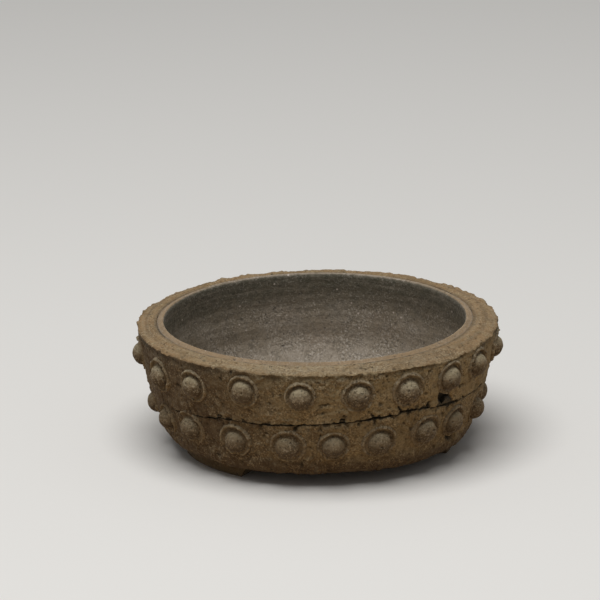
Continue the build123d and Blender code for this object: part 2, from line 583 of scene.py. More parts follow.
@dataclass(frozen=True)
class FiredClay:
    """Finish of unglazed fired clay: colours in layers, sand, pits, wear, painted shade and painted
    highlights, and fine relief.
    """

    name: str
    body: Colour
    patch: Colour
    warm: Colour
    dusk: Colour
    # Colour of painted shade and of darker patches
    soot: Colour
    sand: Colour
    # Dark colour of the painted shade in pores, pits and hollows
    deep: Colour
    # Colour of wear, also used for painted highlights and sheen
    worn: Colour
    pale: Colour
    blush: Colour
    grog: Colour = (0.60, 0.46, 0.27)
    speck: Colour = (0.62, 0.53, 0.46)
    warm_share: float = 0.45
    dusk_share: float = 0.6
    cloud_share: float = 0.4
    blush_share: float = 0.6
    streak_share: float = 0.0
    sand_share: float = 0.8
    grit_share: float = 0.8
    grog_share: float = 0.0
    pit_share: float = 0.55
    speck_share: float = 0.0
    hollow_shade_share: float = 0.95
    pale_least: float = 0.5
    calm_least: float = 0.4
    roughness: Span = (0.74, 0.95)
    specular: float = 0.3
    relief: float = 0.38
    relief_strength: float = 0.8
    lump_weight: float = 1.6
    streak_drift: float = 0.06
    darkening_step: Span = (0.3, 0.6)
    darkening_reach: Span = (0.7, 1.0)
    worn_step: Span = (0.65, 0.4)
    patches: Noise = Noise(7.0, step=(0.36, 0.66))
    flushes: Noise = Noise(11.0, 5.0, 0.65, (0.48, 0.70))
    mottle: Noise = Noise(1.9, 6.0, 0.7, (0.48, 0.66))
    clouds: Noise = Noise(3.6, 3.0, step=(0.52, 0.66))
    blotches: Noise = Noise(3.2, 5.0, 0.65, (0.68, 0.42))
    browning: Noise = Noise(9.0, step=(0.5, 0.64))
    streaks: Noise = Noise(0.8, 3.0)
    coarse: Noise = Noise(5.0, step=(0.40, 0.60), reach=(0.3, 1.0))
    grains: Noise = Noise(0.5, 2.0)
    pores: Noise = Noise(0.9, 4.0, 0.65, (0.60, 0.70))
    sheen: Noise = Noise(1.9, 5.0, step=(0.3, 0.7))
    fine_relief: Noise = Noise(0.5, 4.0, 0.7)
    lump_relief: Noise = Noise(1.2, 4.0, 0.65)
    pore_relief: Noise = Noise(0.9, 5.0, 0.65, (0.74, 0.60))
    grog_dots: Dots = Dots(0.62, 0.42, 0.35)
    pit_dots: Dots = Dots(1.3, 0.28, 0.74)
    speck_dots: Dots = Dots(1.8, 0.2, 0.82)

    # Steps that pick out the peaks and the dips of a noise
    PEAKS = (0.52, 0.66)
    DIPS = (0.48, 0.34)

    def fired(self, sheet: NodeSheet, mottle: Socket) -> Socket:
        """Colour of the body with patches, flushes and clouds, and the darkening layer of painted shade and
        darker patches.

        Args:
            sheet: The material's node tree.
            mottle: The mottling of the clay, from 0 to 1.

        Returns:
            The colour.
        """
        shade = sheet.coat(self.body, self.patch, sheet.patches(self.patches))
        shade = sheet.coat(shade, self.warm, sheet.patches(self.flushes), self.warm_share)
        shade = sheet.coat(shade, self.dusk, sheet.spread(mottle, self.mottle.step), self.dusk_share)
        shade = sheet.coat(shade, self.dusk, sheet.patches(self.clouds), self.cloud_share)
        darkening_spread = sheet.spread(mottle, self.darkening_step, self.darkening_reach)
        return sheet.coat(shade, self.soot, sheet.mark(Mark.SHADE_AND_DARKENING), darkening_spread)

    def rubbed(self, sheet: NodeSheet, mottle: Socket, shade: Socket) -> Socket:
        """Colour with wear and painted highlight, paler tops with painted highlight on the studs' domes, and
        browned places.

        Args:
            sheet: The material's node tree.
            mottle: The mottling of the clay, from 0 to 1.
            shade: The colour below.

        Returns:
            The colour with them.
        """
        shade = sheet.coat(shade, self.worn, sheet.mark(Mark.WORN_AND_LIT), sheet.spread(mottle, self.worn_step))
        pale = sheet.mark(Mark.PALE)
        blotch = sheet.spread(sheet.noise(self.blotches), self.blotches.step, (self.pale_least, 1.0))
        shade = sheet.coat(shade, self.pale, pale, blotch)
        return sheet.coat(shade, self.blush, pale, sheet.patches(self.browning), self.blush_share)

    def wheeled(self, sheet: NodeSheet, shade: Socket) -> Socket:
        """Colour with the fine light and dark lines that a wheel leaves round the axis.

        Args:
            sheet: The material's node tree.
            shade: The colour below.

        Returns:
            The colour with them.
        """
        x, y, z = sheet.add("ShaderNodeSeparateXYZ", {0: sheet.places}).outputs
        flat = sheet.add("ShaderNodeCombineXYZ", {0: x, 1: y}).outputs[0]
        out = sheet.add("ShaderNodeVectorMath", {0: flat}, operation="LENGTH").outputs["Value"]
        drift = sheet.times(x, self.streak_drift)
        rings = sheet.add("ShaderNodeCombineXYZ", {0: out, 1: z, 2: drift}).outputs[0]
        lines = sheet.noise(self.streaks, rings)
        wheel = sheet.times(sheet.mark(Mark.WHEEL), self.streak_share)
        shade = sheet.coat(shade, self.worn, wheel, sheet.spread(lines, self.PEAKS))
        return sheet.coat(shade, self.dusk, wheel, sheet.spread(lines, self.DIPS))

    def sanded(self, sheet: NodeSheet, shade: Socket) -> Socket:
        """Colour with sand, grit and grog, where the clay is coarse.

        Args:
            sheet: The material's node tree.
            shade: The colour below.

        Returns:
            The colour with them.
        """
        covered = sheet.plus(sheet.mark(Mark.PALE), sheet.mark(Mark.SHADE_AND_DARKENING))
        calm = sheet.spread(covered, (0.0, 1.0), (1.0, self.calm_least))
        coarse = sheet.times(sheet.patches(self.coarse), calm)
        grains = sheet.noise(self.grains)
        shade = sheet.coat(shade, self.sand, sheet.spread(grains, self.PEAKS), self.sand_share, coarse)
        shade = sheet.coat(shade, self.dusk, sheet.spread(grains, self.DIPS), self.grit_share, coarse)
        return sheet.coat(shade, self.grog, sheet.dots(self.grog_dots), self.grog_share, coarse)

    def pitted(self, sheet: NodeSheet, shade: Socket) -> Socket:
        """Colour with painted shade in pores, pits and hollows, and with specks.

        Args:
            sheet: The material's node tree.
            shade: The colour below.

        Returns:
            The colour with them.
        """
        pits = sheet.plus(sheet.patches(self.pores), sheet.dots(self.pit_dots))
        shade = sheet.coat(shade, self.deep, pits, self.pit_share)
        if self.speck_share:
            shade = sheet.coat(shade, self.speck, sheet.dots(self.speck_dots), self.speck_share)
        return sheet.coat(shade, self.deep, sheet.mark(Mark.HOLLOW_SHADE), self.hollow_shade_share)

    def colour(self, sheet: NodeSheet) -> Socket:
        """Layers of colour, from the body of the clay outwards.

        Args:
            sheet: The material's node tree.

        Returns:
            The colour of the finished clay.
        """
        mottle = sheet.noise(self.mottle)
        shade = self.rubbed(sheet, mottle, self.fired(sheet, mottle))
        if self.streak_share:
            shade = self.wheeled(sheet, shade)
        return self.pitted(sheet, self.sanded(sheet, shade))

    def bump(self, sheet: NodeSheet) -> Socket:
        """Fine relief of sand and pores, on top of the modelled shape.

        Args:
            sheet: The material's node tree.

        Returns:
            The normal with the relief.
        """
        lumps = sheet.times(sheet.noise(self.lump_relief), self.lump_weight)
        grit = sheet.plus(sheet.noise(self.fine_relief), lumps)
        height = sheet.plus(grit, sheet.patches(self.pore_relief))
        feeds = {"Strength": self.relief_strength, "Distance": self.relief * MM, "Height": height}
        return sheet.add("ShaderNodeBump", feeds).outputs["Normal"]

    def material(self) -> bpy.types.Material:
        """Builds the finish as a node material.

        Returns:
            The material.
        """
        material = bpy.data.materials.new(self.name)
        sheet = NodeSheet(material)
        feeds = {
            "Base Color": self.colour(sheet),
            "Roughness": sheet.spread(sheet.noise(self.sheen), self.sheen.step, self.roughness),
            "Specular IOR Level": self.specular,
            "Normal": self.bump(sheet),
        }
        shader = sheet.add("ShaderNodeBsdfPrincipled", feeds).outputs["BSDF"]
        sheet.add("ShaderNodeOutputMaterial", {"Surface": shader})
        return material


CHARCOAL = FiredClay(
    name="charcoal_clay",
    body=(0.243, 0.198, 0.141),
    patch=(0.300, 0.252, 0.194),
    warm=(0.290, 0.215, 0.158),
    dusk=(0.120, 0.103, 0.080),
    soot=(0.064, 0.057, 0.036),
    sand=(0.42, 0.375, 0.32),
    deep=(0.035, 0.030, 0.024),
    worn=(0.288, 0.242, 0.190),
    pale=(0.274, 0.182, 0.092),
    blush=(0.194, 0.130, 0.066),
    pale_least=0.85,
    warm_share=0.3,
    dusk_share=0.5,
    cloud_share=0.2,
    sand_share=0.85,
    grit_share=0.75,
    pit_share=0.45,
    streak_share=0.24,
    # Pale specks: grains in the clay, and painted glints
    speck_share=0.8,
    roughness=(0.52, 0.74),
    specular=0.4,
    relief=0.2,
)
BROWN_SLAB = FiredClay(
    name="brown_slab_clay",
    body=(0.268, 0.209, 0.112),
    patch=(0.322, 0.258, 0.146),
    warm=(0.352, 0.252, 0.122),
    dusk=(0.105, 0.076, 0.042),
    soot=(0.080, 0.051, 0.025),
    sand=(0.44, 0.360, 0.235),
    deep=(0.022, 0.017, 0.010),
    worn=(0.288, 0.254, 0.178),
    pale=(0.282, 0.180, 0.088),
    blush=(0.194, 0.132, 0.066),
    streak_share=0.25,
    calm_least=0.65,
    grog_share=0.5,
)
GREY_STUD = FiredClay(
    name="grey_stud_clay",
    body=(0.195, 0.144, 0.080),
    patch=(0.230, 0.182, 0.114),
    warm=(0.240, 0.176, 0.096),
    dusk=(0.100, 0.078, 0.048),
    soot=(0.072, 0.050, 0.028),
    sand=(0.38, 0.325, 0.235),
    deep=(0.030, 0.023, 0.014),
    # Worn and pale are lighter colours of wear and ash, with painted highlight on crests and dome tops
    worn=(0.400, 0.335, 0.220),
    pale=(0.382, 0.327, 0.212),
    blush=(0.230, 0.186, 0.115),
    grog=(0.52, 0.45, 0.31),
    blush_share=0.4,
    warm_share=0.3,
    dusk_share=0.45,
    cloud_share=0.3,
    grog_share=0.5,
    calm_least=0.9,
    relief=0.5,
)
# Dark foot colour: painted shade of the foot that sits back under the wall
SHADED_FOOT = FiredClay(
    name="shaded_foot_clay",
    body=(0.130, 0.092, 0.046),
    patch=(0.165, 0.118, 0.062),
    warm=(0.175, 0.118, 0.056),
    dusk=(0.070, 0.048, 0.024),
    soot=(0.045, 0.034, 0.020),
    sand=(0.25, 0.205, 0.14),
    deep=(0.022, 0.017, 0.011),
    worn=(0.230, 0.188, 0.125),
    pale=(0.200, 0.162, 0.105),
    blush=(0.150, 0.115, 0.070),
    sand_share=0.4,
)


def settle(piece: bpy.types.Object, node: str, material: bpy.types.Material) -> bpy.types.Object:
    """Dresses a piece and sets it in the place of its node.

    Args:
        piece: The new piece.
        node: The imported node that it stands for.
        material: Its finish.

    Returns:
        The same piece.
    """
    piece.data.materials.append(material)
    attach(piece, "root")
    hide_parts(node)
    return piece


def node_box(node: str) -> tuple[Vector, Vector]:
    """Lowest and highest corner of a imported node, in millimetres."""
    low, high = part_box(node)
    return low / MM, high / MM


@dataclass(frozen=True)
class Nick:
    """A hollow in a wall or a rim: a pit, a chip, a crack or a torn place."""

    angle: float
    radius: float
    height: float
    width: float
    tall: float
    depth: float
    lean: float = 0.0

    # Where it starts and where it is at its deepest, in half sizes from its middle
    BRINK = (1.5, 0.2)

    def dug(self, places: Array, ragged: Array) -> Array:
        """How deep it is at places.

        Args:
            places: Places on the skin that it is in.
            ragged: How far its outline is out of true there.

        Returns:
            Depths in millimetres.
        """
        turn = np.arctan2(places[..., 0], -places[..., 1]) - radians(self.angle)
        across = ((turn + pi) % tau - pi) * self.radius + ragged
        up = places[..., 2] - self.height - np.hypot(places[..., 0], places[..., 1]) + self.radius + ragged
        tip = radians(self.lean)
        side = (across * cos(tip) + up * sin(tip)) / (self.width / 2)
        rise = (up * cos(tip) - across * sin(tip)) / (self.tall / 2)
        return self.depth * ease(np.hypot(side, rise), *self.BRINK)


@dataclass(frozen=True)
class WallFace:
    """Straight leaning face of a band, from a place at its top to one at its bottom."""

    top: Place
    bottom: Place

    def slope(self) -> float:
        """How much the radius grows for each millimetre up."""
        return (self.top[0] - self.bottom[0]) / (self.top[1] - self.bottom[1])

    def radius_at(self, height: float | Array) -> float | Array:
        """Radius of the face at a height."""
        return self.bottom[0] + self.slope() * (height - self.bottom[1])

    def place(self, height: float) -> Place:
        """Place on the face at a height."""
        return self.radius_at(height), height

    def nick(self, angle: float, height: float, *sizes: float) -> Nick:
        """A nick in the face, with its width, tallness, depth and lean."""
        return Nick(angle, *self.place(height), *sizes)

    def seat(self, angle: float, height: float) -> Matrix:
        """Frame on the face, with X across, Y up the wall and Z outwards.

        Args:
            angle: Angle from the front, in radians.
            height: Height above the table.

        Returns:
            The frame as a matrix, in millimetres.
        """
        slant = hypot(1.0, self.slope())
        out = Vector((sin(angle), -cos(angle), 0.0))
        across = Vector((cos(angle), sin(angle), 0.0))
        face_out = (out - Vector((0.0, 0.0, self.slope()))) / slant
        up = face_out.cross(across)
        place = out * self.radius_at(height) + Vector((0.0, 0.0, height))
        return Matrix.Translation(place) @ Matrix((across, up, face_out)).transposed().to_4x4()


@dataclass(frozen=True)
class HandBuild:
    """How the hand-built wall departs from a true round.

    The seam's course is a round of angles in degrees, each with the height of the seam there.
    """

    course: tuple[Place, ...] = (
        (-180, 16.4), (-120, 15.6), (-90, 15.6), (-68, 15.8), (-60, 15.6), (-54, 15.8), (-48, 16.2),
        (-38, 16.9), (-34, 17.5), (-19, 17.4), (-6, 17.75), (8, 18.2), (20, 18.7), (27, 18.75),
        (29, 19.5), (35, 19.3), (42, 18.7), (48, 18.2), (56, 18.2), (90, 18.7), (130, 17.9),
    )
    rise_right: float = 0.25
    rise_back: float = 0.15
    mouth_left: float = 0.6
    steady_height: float = 19.0
    mouth_height: float = 31.0
    dark_side_angle: float = -58.0
    dark_side_width: float = 40.0
    grey_angle: float = -4.0
    grey_width: float = 46.0
    grey_fade: float = 0.8

    def seam(self, angles: Array) -> Array:
        """Height of the seam at angles in radians."""
        places, heights = zip(*self.course)
        return np.interp(np.degrees(angles), places, heights, period=360.0)

    def rim_lift(self, angles: Array) -> Array:
        """How much higher than its middle the rim is."""
        return self.rise_right * np.sin(angles) - self.rise_back * np.cos(angles)

    def at_mouth(self, height: Array) -> Array:
        """How much of what is done to the mouth reaches a height."""
        return ease(height, self.steady_height, self.mouth_height)

    def mouth_shift(self, angles: Array, height: Array) -> Array:
        """How far the bowl's wall is out, as its mouth is off the middle to the left."""
        return -self.mouth_left * np.sin(angles) * self.at_mouth(height)

    def grey(self, angles: Array) -> Array:
        """How much greyer the rim is, which it is at the front."""
        return swell(np.degrees(angles), self.grey_angle, self.grey_width)

    def groove_left(self, angles: Array) -> Array:
        """How much of a groove in the rim is left where the rim is greyer."""
        return 1 - self.grey_fade * self.grey(angles)

    def soot(self, angles: Array) -> Array:
        """How much darker the wall is, which it is on one side."""
        return swell(np.degrees(angles), self.dark_side_angle, self.dark_side_width)


@dataclass(frozen=True)
class Crumbs:
    """Small bites out of the edge of a band along the seam, spread at random."""

    count: int = 90
    above: float = 0.3
    width: Span = (0.6, 2.2)
    tall: Span = (0.4, 0.9)
    depth: Span = (0.2, 0.7)

    def nicks(self, face: WallFace, hand: HandBuild, draw: np.random.Generator) -> tuple[Nick, ...]:
        """Draws the bites.

        Args:
            face: The band's face.
            hand: The course of the seam.
            draw: Where the random numbers come from.

        Returns:
            The bites as nicks in the face.
        """
        angles = draw.uniform(-180.0, 180.0, self.count)
        heights = hand.seam(np.radians(angles)) + self.above
        sizes = [draw.uniform(*span, self.count) for span in (self.width, self.tall, self.depth)]
        return tuple(face.nick(*values) for values in zip(angles, heights, *sizes))


@dataclass(frozen=True)
class StudSeat:
    """Where a stud sits on its band."""

    node: str
    angle: float
    height: float


def stud_seats(row: Row, face: WallFace) -> list[StudSeat]:
    """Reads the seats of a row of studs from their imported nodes.

    Args:
        row: Which row.
        face: The face that the row sits on.

    Returns:
        The seats in the order of the nodes' names.
    """
    seats = []
    for node in sorted(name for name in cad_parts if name.startswith(f"{row.value}_stud_")):
        low, high = node_box(node)
        middle = (low + high) / 2
        out = hypot(middle.x, middle.y) - face.radius_at(middle.z)
        lift = out * face.slope() / (1 + face.slope() ** 2)
        seats.append(StudSeat(node, atan2(middle.x, -middle.y), middle.z + lift))
    return seats


@dataclass
class SlabBand:
    """A slab band with a row of studs: what the upper and the lower band share."""

    node: str
    row: Row
    face: WallFace
    joint_radius: float
    hand: HandBuild
    grain: Grain
    nicks: tuple[Nick, ...]
    segments: int = 960
    step: float = 0.3
    film: float = 0.15
    seam_gap: float = 0.34
    seam_wobble: float = 0.18
    seam_waver: Lumps = Lumps((12.0, 3.0, 1.2, 0.7), (0.7, 0.8, 0.6, 0.3))
    edge_radius: float = 0.22
    edge_rows: int = 5
    hem_rows: int = 4
    edge_rough: float = 0.6
    seam_rough: float = 0.2
    socket_depth: float = 1.1
    socket_radius: float = 2.9
    socket_edge: float = 3.5
    collar_height: float = 0.08
    collar_radius: float = 4.9
    collar_width: float = 0.8
    calm_radius: float = 5.4
    calm_share: float = 0.8
    nick_outline: Lumps = Lumps((2.0, 1.0, 0.6), (0.5, 0.35, 0.2))
    broad_lumps: Lumps = Lumps((11.0, 4.0), (0.26, 0.19))
    fine_lumps: Lumps = Lumps((1.8, 1.1, 0.7), (0.15, 0.16, 0.12))
    fine_least: float = 0.55
    fine_patches: Spots = Spots(7.0, -0.25, 0.35, 0.75, shift=20.0)
    small_pits: Spots = Spots(1.2, 0.42, 0.72, 0.4)
    wide_pits: Spots = Spots(2.4, 0.50, 1.0, 0.4, shift=40.0)
    nick_shade_depth: Span = (0.12, 0.8)
    dip_shade: Span = (0.1, 0.4)
    dip_share: float = 0.6
    seam_shade: Span = (0.3, 0.1)
    worn_rise: Span = (0.05, 0.25)
    worn_share: float = 0.65

    def angles(self) -> Array:
        """Angles of the points round the band."""
        return round_the_axis(self.segments)

    def rows(self, length: float) -> int:
        """How many rows of points a stretch of the section has."""
        return round(length / self.step)

    def seam_lift(self) -> Array:
        """How much higher than its middle the band's edge at the seam is, round the band.

        Returns:
            Heights in millimetres, by angle.
        """
        angles = self.angles()
        waver = self.grain.lumps(ring(angles, self.face.bottom[0]), self.seam_waver)
        return self.hand.seam(angles) - SEAM_HEIGHT + self.seam_wobble * waver

    def from_seat(self, seat: StudSeat, places: Array) -> Array:
        """Distance of places on the face from the middle of a stud.

        Args:
            seat: Where the stud sits.
            places: Places on the face.

        Returns:
            Distances in millimetres, along the face.
        """
        angle = np.arctan2(places[..., 0], -places[..., 1])
        turn = (angle - seat.angle + pi) % tau - pi
        up = (places[..., 2] - seat.height) * hypot(1.0, self.face.slope())
        return np.hypot(turn * self.face.radius_at(seat.height), up)

    def sockets(self, places: Array) -> tuple[Array, Array]:
        """Pressed-in sockets and squeezed-up collars of the studs.

        Args:
            places: Places on the face.

        Returns:
            How far the face moves out, and how much of its own relief is left there.
        """
        move = np.zeros(places.shape[:-1])
        left = np.ones(places.shape[:-1])
        for seat in stud_seats(self.row, self.face):
            off = self.from_seat(seat, places)
            move -= self.socket_depth * ease(off, self.socket_edge, self.socket_radius)
            move += self.collar_height * swell(off, self.collar_radius, self.collar_width)
            left *= 1 - self.calm_share * ease(off, self.calm_radius, self.socket_edge)
        return move, left

    def dug(self, places: Array) -> Array:
        """Depth of the nicks at places on the band."""
        ragged = self.grain.lumps(places, self.nick_outline)
        return np.max([nick.dug(places, ragged) for nick in self.nicks], axis=0)

    def relief(self, places: Array) -> tuple[Array, Array]:
        """Lumps, drag marks and pits of the slab.

        Args:
            places: Places on the band.

        Returns:
            Height over the face, and the fine part of that alone.
        """
        broad = self.grain.lumps(places, self.broad_lumps)
        strength = self.fine_least + self.grain.spots(places, self.fine_patches)
        pits = self.grain.spots(places, self.small_pits) + self.grain.spots(places, self.wide_pits)
        fine = self.grain.lumps(places, self.fine_lumps) * strength - pits
        return broad + fine, fine

    def work(self, skin: ClaySkin, section: Section, extra: Array) -> tuple[Array, Array]:
        """Works the surface of the slab: its relief, the sockets of its studs and its nicks.

        Args:
            skin: The slab, still smooth.
            section: Its half section.
            extra: Height that is added to the rest.

        Returns:
            How deep the nicks are, and how high the fine relief is.
        """
        wall = section.share(Share.WALL)
        move, left = self.sockets(skin.places)
        rough = section.share(Share.ROUGH) * (1 - wall * (1 - left))
        relief, fine = (height * rough for height in self.relief(skin.places))
        dug = self.dug(skin.places) * np.maximum(section.share(Share.RIM), wall)
        skin.push(relief + extra + move * wall - dug)
        return dug, fine

    def hollow(self, dug: Array, fine: Array) -> Array:
        """How much painted shade the nicks and the dips of the fine relief get."""
        return ease(dug, *self.nick_shade_depth) + self.dip_share * ease(-fine, *self.dip_shade)

    def worn(self, fine: Array) -> Array:
        """How much lighter the tops of the fine relief are: wear, and painted highlight."""
        return self.worn_share * ease(fine, *self.worn_rise)


@dataclass
class UpperBand(SlabBand):
    """The upper slab band, whose top edge is the wide part of the rim."""

    rim_height: float = field(kw_only=True)
    crown_round: float = 0.45
    crown_rows: int = 6
    back_rows: int = 6
    joint_round: Place = (0.6, 0.1)
    joint_rough: float = 0.4
    rim_rough: float = 0.75
    torn: float = 0.58
    torn_reach: float = 0.75
    torn_least: float = 0.4
    torn_patches: Spots = Spots(9.0, -0.4, 0.5)
    torn_out: Lumps = Lumps((3.4, 1.6, 0.9), (0.9, 0.75, 0.3))
    torn_up: Lumps = Lumps((4.0, 1.6, 0.8), (0.4, 0.5, 0.4), shift=90.0)
    wear: float = 0.32
    wear_reach: float = 2.6
    wear_drop: Span = (3.0, 0.5)
    wear_waver: Lumps = Lumps((14.0, 6.0), (1.0, 0.4))
    wear_right: float = 1.2
    wear_angle: float = 45.0
    wear_spread: float = 26.0
    ridge_radius: float = 41.2
    ridge_height: float = 0.32
    ridge_width: float = 0.6
    wheel_turn: float = 5.0
    wheel_height: float = 0.07
    wheel_lines: Lumps = Lumps((1.7, 0.9), (1.0, 0.6))
    undercut: float = 0.42
    undercut_drop: float = 1.1
    undercut_reach: float = 1.0
    undercut_least: float = 0.7
    undercut_waver: float = 0.6
    undercut_size: float = 5.0
    undercut_shade: float = 1.45
    groove_reach: Span = (1.3, 0.2)
    groove_shade: float = 0.5
    ridge_foot: float = 1.2
    ridge_foot_width: float = 0.4
    ridge_foot_shade: float = 0.3
    line_dip: Span = (0.03, 0.12)
    line_shade: float = 0.25
    smoke_angle: float = 40.0
    smoke_width: float = 24.0
    front_grey: float = 0.42
    smoke_grey: float = 0.16
    level: Span = (0.35, 0.8)
    wall_darkening: float = 1.25

    def section(self) -> Section:
        """Half section, from the joint over the rim, down the wall and up behind.

        Returns:
            The half section, with the shares of its stretches.
        """
        inside = self.joint_radius
        low = SEAM_HEIGHT + self.seam_gap / 2
        edge = self.face.top[1]
        foot = self.face.place(low + self.edge_radius)
        shoulder = self.face.place(edge - self.crown_round)
        crown = (shoulder[0] - self.crown_round, edge)
        joint = (inside + self.joint_round[0], self.rim_height)
        bend = self.rim_height - self.joint_round[1]
        hem = foot[0] - self.edge_radius
        wall = {Share.ROUGH: 1.0, Share.WALL: 1.0}
        brink = {**wall, Share.ROUGH: self.edge_rough}
        rim = {Share.ROUGH: self.rim_rough, Share.RIM: 1.0}
        lip = {**rim, Share.ROUGH: self.joint_rough}
        section = Section()
        section.add(arc((joint[0], bend), self.joint_round, 180, 90, self.edge_rows), lip)
        section.add(run(joint, crown, self.rows(crown[0] - joint[0])), rim)
        section.add(fillet((crown[0], shoulder[1]), self.crown_round, 90, 0, self.crown_rows), brink)
        section.add(run(shoulder, foot, self.rows(shoulder[1] - foot[1])), wall)
        section.add(fillet((hem, foot[1]), self.edge_radius, 0, -90, self.edge_rows), brink)
        section.add(run((hem, low), (inside + self.film, low), self.hem_rows), {Share.ROUGH: self.seam_rough})
        section.add(run((inside + self.film, low), (inside, bend), self.back_rows))
        return section

    def rim_edge(self) -> Array:
        """Places round the rim's outer edge."""
        return ring(self.angles(), self.face.top[0])

    def torn_edge(self, radius: Array, height: Array) -> tuple[Array, Array]:
        """How far the rim's torn outer edge carries the rows near it out and up.

        Args:
            radius: Radius of each row, in a column.
            height: Height of each row, in a column.

        Returns:
            Millimetres out and millimetres up, by row and angle.
        """
        edge = self.rim_edge()
        corner = np.hypot(radius - self.face.top[0] + self.crown_round, height - self.face.top[1])
        near = self.torn * swell(corner, 0.0, self.torn_reach)
        near = near * (self.torn_least + self.grain.spots(edge, self.torn_patches))
        return near * self.grain.lumps(edge, self.torn_out), near * self.grain.lumps(edge, self.torn_up)

    def worn_down(self, radius: Array, height: Array) -> Array:
        """How far the rim is worn down towards its outer edge.

        Args:
            radius: Radius of each row, in a column.
            height: Height of each row, in a column.

        Returns:
            Depths in millimetres, by row and angle.
        """
        outer, top = self.face.top
        depth = self.wear * np.clip(1 + self.grain.lumps(self.rim_edge(), self.wear_waver), 0.0, None)
        right = swell(np.degrees(self.angles()), self.wear_angle, self.wear_spread)
        near = ease(radius, outer - self.wear_reach, outer)
        high = ease(height, top - self.wear_drop[0], top - self.wear_drop[1])
        return depth * (1 + self.wear_right * right) * near * high

    def smooth(self, section: Section) -> ClaySkin:
        """The band before its surface is worked, askew and worn as it is.

        Args:
            section: Its half section.

        Returns:
            The smooth band.
        """
        radius, height = section.columns()
        angles, wall = self.angles(), section.share(Share.WALL)
        down = np.clip((self.rim_height - height) / (self.rim_height - SEAM_HEIGHT), 0.0, None)
        lift = down * self.seam_lift() + np.clip(1 - down, 0.0, 1.0) * self.hand.rim_lift(angles)
        torn_out, torn_up = self.torn_edge(radius, height)
        outer = self.face.top[0]
        inwards = np.clip((outer - radius) / (outer - self.joint_radius), 0.0, 1.0) * (1 - wall)
        shift = lift * self.face.slope() * wall + inwards * self.hand.mouth_shift(angles, height)
        rise = lift + torn_up - self.worn_down(radius, height)
        return ClaySkin(turned(radius + shift + torn_out, height + rise, angles), closed_rows=True)

    def wheel(self, radius: Array) -> Array:
        """Height of the lines and the ridge that the wheel left on the rim.

        Args:
            radius: Radius of each row, in a column.

        Returns:
            Heights in millimetres, by row and angle.
        """
        lines = drawn_out(self.angles(), self.wheel_turn, radius)
        height = self.wheel_height * self.grain.lumps(lines, self.wheel_lines)
        return height + self.ridge_height * swell(radius, self.ridge_radius, self.ridge_width)

    def tuck(self, places: Array, height: Array) -> Array:
        """How far the wall is drawn in under the rim."""
        depth = self.undercut * swell(height, self.face.top[1] - self.undercut_drop, self.undercut_reach)
        return depth * (self.undercut_least + self.undercut_waver * self.grain.at(places, self.undercut_size))

    def groove(self, radius: Array) -> Array:
        """How much painted shade the rim gets along the joint and at the foot of its ridge.

        Args:
            radius: Radius of each row, in a column.

        Returns:
            Shares, by row and angle.
        """
        joint = ease(radius, *(self.joint_radius + reach for reach in self.groove_reach))
        foot = swell(radius, self.ridge_radius + self.ridge_foot, self.ridge_foot_width)
        dark = self.groove_shade * joint + self.ridge_foot_shade * foot
        return dark * self.hand.groove_left(self.angles())

    def build(self, material: bpy.types.Material) -> bpy.types.Object:
        """Models the band and sets it in place.

        Args:
            material: Its finish.

        Returns:
            The finished piece.
        """
        section = self.section()
        radius, height = section.columns()
        angles, wall, rim = self.angles(), section.share(Share.WALL), section.share(Share.RIM)
        skin = self.smooth(section)
        facing = skin.outward()
        wheel = self.wheel(radius) * rim
        tuck = self.tuck(skin.places, height) * wall
        dug, fine = self.work(skin, section, wheel - tuck)
        # Painted shade in the seam, the grooves, the wheel lines' dips and under the rim's edge
        behind = ease(height - SEAM_HEIGHT, *self.seam_shade)
        lines = self.groove(radius) + self.line_shade * ease(-wheel, *self.line_dip)
        front = self.hand.grey(angles)
        dimmed = swell(np.degrees(angles), self.smoke_angle, self.smoke_width)
        grey = self.front_grey * front + self.smoke_grey * dimmed
        skin.mark(Mark.HOLLOW_SHADE, self.hollow(dug, fine) + behind + self.undercut_shade * tuck + rim * lines)
        skin.mark(Mark.WHEEL, rim)
        skin.mark(Mark.PALE, ease(facing[..., 2], *self.level) * (1 - behind) * (1 - grey))
        skin.mark(Mark.SHADE_AND_DARKENING, wall * self.wall_darkening * self.hand.soot(angles) + rim * dimmed)
        # Tops of the fine relief lighter: wear and painted highlight; the rim greyer at the front
        skin.mark(Mark.WORN_AND_LIT, self.worn(fine) + rim * front)
        return settle(skin.piece("upper_band_clay"), self.node, material)


